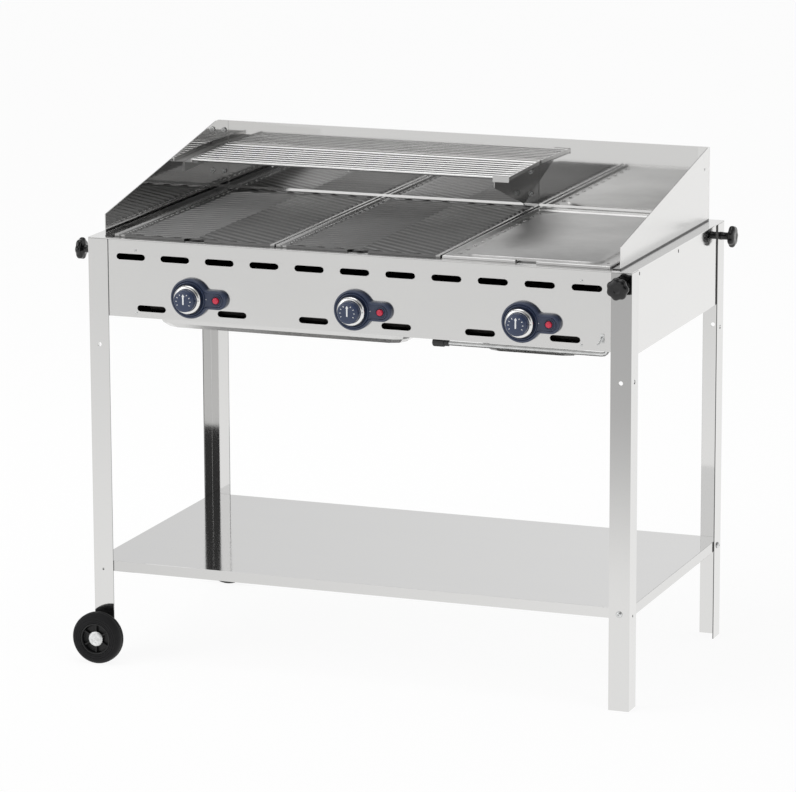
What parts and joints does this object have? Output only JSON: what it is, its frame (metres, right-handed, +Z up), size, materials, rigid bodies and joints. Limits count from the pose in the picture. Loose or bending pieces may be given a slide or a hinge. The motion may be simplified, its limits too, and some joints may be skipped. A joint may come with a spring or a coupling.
{
  "type": "gas charbroiler grill",
  "caption": "Free-standing stainless gas grill on legs with lift-out grooved and flat plates, knobs with igniter buttons, windshield, warming rack, under-shelf and wheels.",
  "frame": {"origin": "on the floor, midway between the outer faces of the four legs", "axes": "+X to the cook's right along the row of burners, +Y from the control side to the back, +Z up"},
  "size_m": [1.136, 0.666, 0.9636],
  "materials": {
    "polished_steel": "mirror-polished stainless sheet",
    "satin_steel": "satin brushed stainless sheet",
    "pan_steel": "pressed stainless sheet, satin",
    "grooved_plate": "dark ground steel, grooved",
    "griddle_plate": "ground steel, smooth",
    "rack_steel": "bright steel wire",
    "zinc_steel": "bright plated steel",
    "brass": "machined",
    "navy_plastic": "moulded navy plastic, knob with a silver ring",
    "red_plastic": "moulded, slightly glossy",
    "black_plastic": "moulded, slightly glossy",
    "black_rubber": "moulded",
    "tyre_rubber": "solid rubber tread"
  },
  "bodies": {
    "body": {"leg_front_left": "polished_steel", "shelf_bolt_front_left": "zinc_steel", "leg_front_right": "polished_steel", "shelf_bolt_front_right": "zinc_steel", "leg_rear_left": "polished_steel", "shelf_bolt_rear_left": "zinc_steel", "leg_rear_right": "polished_steel", "shelf_bolt_rear_right": "zinc_steel", "shelf": "polished_steel", "front_panel": "satin_steel", "rear_panel": "satin_steel", "side_panel_left": "satin_steel", "side_panel_right": "satin_steel", "hob_frame": "satin_steel", "drip_pan_wide": "pan_steel", "drip_pan_narrow": "pan_steel", "gas_manifold": "zinc_steel", "gas_inlet_pipe": "zinc_steel", "hose_connector": "black_rubber", "gas_valve_1": "brass", "igniter_1": "black_plastic", "bezel_1": "navy_plastic", "burner_1": "zinc_steel", "gas_valve_2": "brass", "igniter_2": "black_plastic", "bezel_2": "navy_plastic", "burner_2": "zinc_steel", "gas_valve_3": "brass", "igniter_3": "black_plastic", "bezel_3": "navy_plastic", "burner_3": "zinc_steel", "wheel_axle_front": "zinc_steel", "wheel_axle_rear": "zinc_steel", "utensil_hook": "zinc_steel"},
    "stem_1": {"valve_stem_1": "brass"},
    "knob_1": {"control_knob_1": "navy_plastic"},
    "button_1": {"igniter_button_1": "red_plastic"},
    "stem_2": {"valve_stem_2": "brass"},
    "knob_2": {"control_knob_2": "navy_plastic"},
    "button_2": {"igniter_button_2": "red_plastic"},
    "stem_3": {"valve_stem_3": "brass"},
    "knob_3": {"control_knob_3": "navy_plastic"},
    "button_3": {"igniter_button_3": "red_plastic"},
    "clamp_front_left": {"clamp_knob_front_left": "black_plastic"},
    "clamp_front_right": {"clamp_knob_front_right": "black_plastic"},
    "clamp_rear_right": {"clamp_knob_rear_right": "black_plastic"},
    "clamp_rear_left": {"clamp_knob_rear_left": "black_plastic"},
    "wheel_front": {"tyre_front": "tyre_rubber", "wheel_hub_front": "black_plastic"},
    "wheel_rear": {"tyre_rear": "tyre_rubber", "wheel_hub_rear": "black_plastic"},
    "plate_left": {"grooved_plate_left": "grooved_plate"},
    "plate_middle": {"grooved_plate_middle": "grooved_plate"},
    "plate_right": {"griddle_plate_right": "griddle_plate"},
    "windshield": {"windshield_back": "polished_steel", "windshield_left": "polished_steel", "windshield_right": "polished_steel", "rack_bracket_left": "polished_steel", "rack_bracket_right": "polished_steel"},
    "rack": {"warming_rack": "rack_steel"}
  },
  "joints": [
    {"name": "knob_1_turn", "type": "hinge", "parent": "body", "child": "stem_1", "pos_m": [-0.3285, -0.289, 0.718], "axis": [0, -1, 0], "range_deg": [0, 210]},
    {"name": "knob_1_press", "type": "slide", "parent": "stem_1", "child": "knob_1", "axis": [0, 1, 0], "range_m": [0, 0.003], "stiffness_N_per_m": 400},
    {"name": "igniter_1_press", "type": "slide", "parent": "body", "child": "button_1", "axis": [0, 1, 0], "range_m": [0, 0.0025], "stiffness_N_per_m": 600},
    {"name": "knob_2_turn", "type": "hinge", "parent": "body", "child": "stem_2", "pos_m": [0, -0.289, 0.718], "axis": [0, -1, 0], "range_deg": [0, 210]},
    {"name": "knob_2_press", "type": "slide", "parent": "stem_2", "child": "knob_2", "axis": [0, 1, 0], "range_m": [0, 0.003], "stiffness_N_per_m": 400},
    {"name": "igniter_2_press", "type": "slide", "parent": "body", "child": "button_2", "axis": [0, 1, 0], "range_m": [0, 0.0025], "stiffness_N_per_m": 600},
    {"name": "knob_3_turn", "type": "hinge", "parent": "body", "child": "stem_3", "pos_m": [0.3285, -0.289, 0.718], "axis": [0, -1, 0], "range_deg": [0, 210]},
    {"name": "knob_3_press", "type": "slide", "parent": "stem_3", "child": "knob_3", "axis": [0, 1, 0], "range_m": [0, 0.003], "stiffness_N_per_m": 400},
    {"name": "igniter_3_press", "type": "slide", "parent": "body", "child": "button_3", "axis": [0, 1, 0], "range_m": [0, 0.0025], "stiffness_N_per_m": 600},
    {"name": "clamp_front_left_turn", "type": "hinge", "parent": "body", "child": "clamp_front_left", "pos_m": [-0.538, -0.267, 0.795], "axis": [-1, 0, 0], "continuous": true},
    {"name": "clamp_front_right_turn", "type": "hinge", "parent": "body", "child": "clamp_front_right", "pos_m": [0.518, -0.287, 0.795], "axis": [0, -1, 0], "continuous": true},
    {"name": "clamp_rear_right_turn", "type": "hinge", "parent": "body", "child": "clamp_rear_right", "pos_m": [0.538, 0.267, 0.795], "axis": [1, 0, 0], "continuous": true},
    {"name": "clamp_rear_left_turn", "type": "hinge", "parent": "body", "child": "clamp_rear_left", "pos_m": [-0.518, 0.287, 0.795], "axis": [0, 1, 0], "continuous": true},
    {"name": "wheel_front_roll", "type": "hinge", "parent": "body", "child": "wheel_front", "pos_m": [-0.518, -0.318, 0.05], "axis": [0, -1, 0], "continuous": true},
    {"name": "wheel_rear_roll", "type": "hinge", "parent": "body", "child": "wheel_rear", "pos_m": [-0.518, 0.318, 0.05], "axis": [0, -1, 0], "continuous": true},
    {"name": "plate_left_tilt", "type": "hinge", "parent": "body", "child": "plate_left", "pos_m": [-0.3285, 0.26, 0.8223], "axis": [-1, 0, 0], "range_deg": [0, 18]},
    {"name": "plate_middle_tilt", "type": "hinge", "parent": "body", "child": "plate_middle", "pos_m": [0, 0.26, 0.8223], "axis": [-1, 0, 0], "range_deg": [0, 18]},
    {"name": "plate_right_tilt", "type": "hinge", "parent": "body", "child": "plate_right", "pos_m": [0.3285, 0.26, 0.8223], "axis": [-1, 0, 0], "range_deg": [0, 18]},
    {"name": "windshield_lift", "type": "slide", "parent": "body", "child": "windshield", "axis": [0, 0, 1], "range_m": [0, 0.12]},
    {"name": "rack_lift", "type": "slide", "parent": "windshield", "child": "rack", "axis": [0, 0, 1], "range_m": [0, 0.08]}
  ]
}
